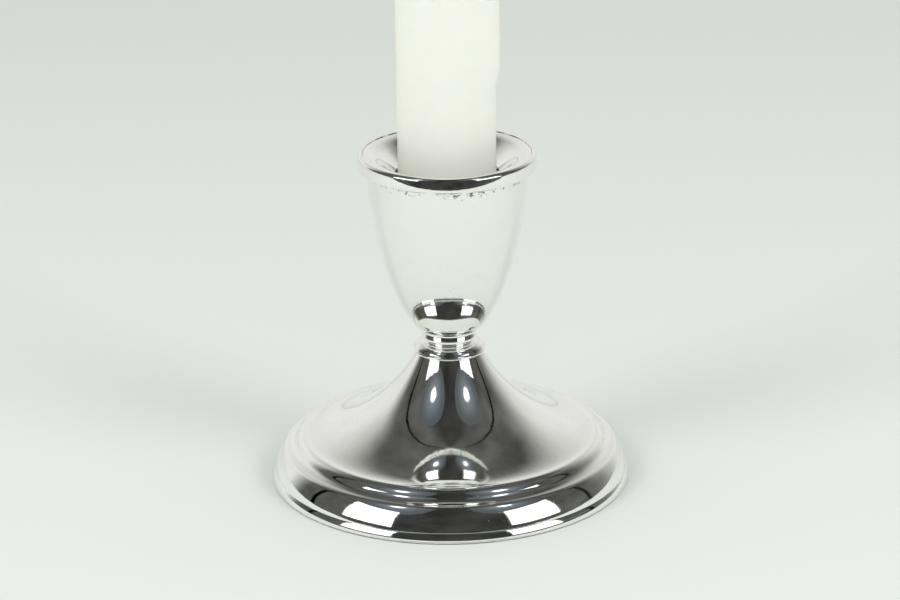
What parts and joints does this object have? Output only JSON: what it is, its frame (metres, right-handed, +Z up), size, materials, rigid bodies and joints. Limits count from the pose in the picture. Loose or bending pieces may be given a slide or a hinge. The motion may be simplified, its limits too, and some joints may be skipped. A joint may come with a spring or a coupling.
{
  "type": "candlestick",
  "caption": "Low polished silver candlestick: round weighted foot with stepped mouldings, short waisted neck, tulip cup with drip dish, tapered socket and plain candle that lifts out.",
  "frame": {"origin": "centre of the foot's underside, on the table surface that the felt pad rests on", "axes": "+Z up along the stick and the candle; +X to the right and +Y away in the front view; the stick itself is round, the candle's trimmed shoulder is on the +X side"},
  "size_m": [0.08, 0.08, 0.1603],
  "materials": {
    "silver": "polished silver, hand buffed, fine scratches and a little tarnish in the creases",
    "plaster": "cast plaster, hidden inside",
    "steel": "plain zinc-grey steel, hidden inside",
    "brass": "turned brass, hidden inside",
    "felt": "short wool felt",
    "wax": "ivory candle wax, smooth and faintly translucent",
    "wick": "braided cotton, unburnt"
  },
  "bodies": {
    "stick": {"base_shell": "silver", "base_fill": "plaster", "base_plate": "steel", "felt_pad": "felt", "tie_rod": "steel", "rod_washer": "steel", "rod_nut": "steel", "socket_boss": "brass", "neck_spool": "silver", "cup_shell": "silver", "cup_fill": "plaster", "socket_liner": "silver"},
    "candle_body": {"candle": "wax", "wick": "wick"}
  },
  "joints": [
    {"name": "candle_lift", "type": "slide", "parent": "stick", "child": "candle_body", "axis": [0, 0, 1], "range_m": [0, 0.06]}
  ]
}
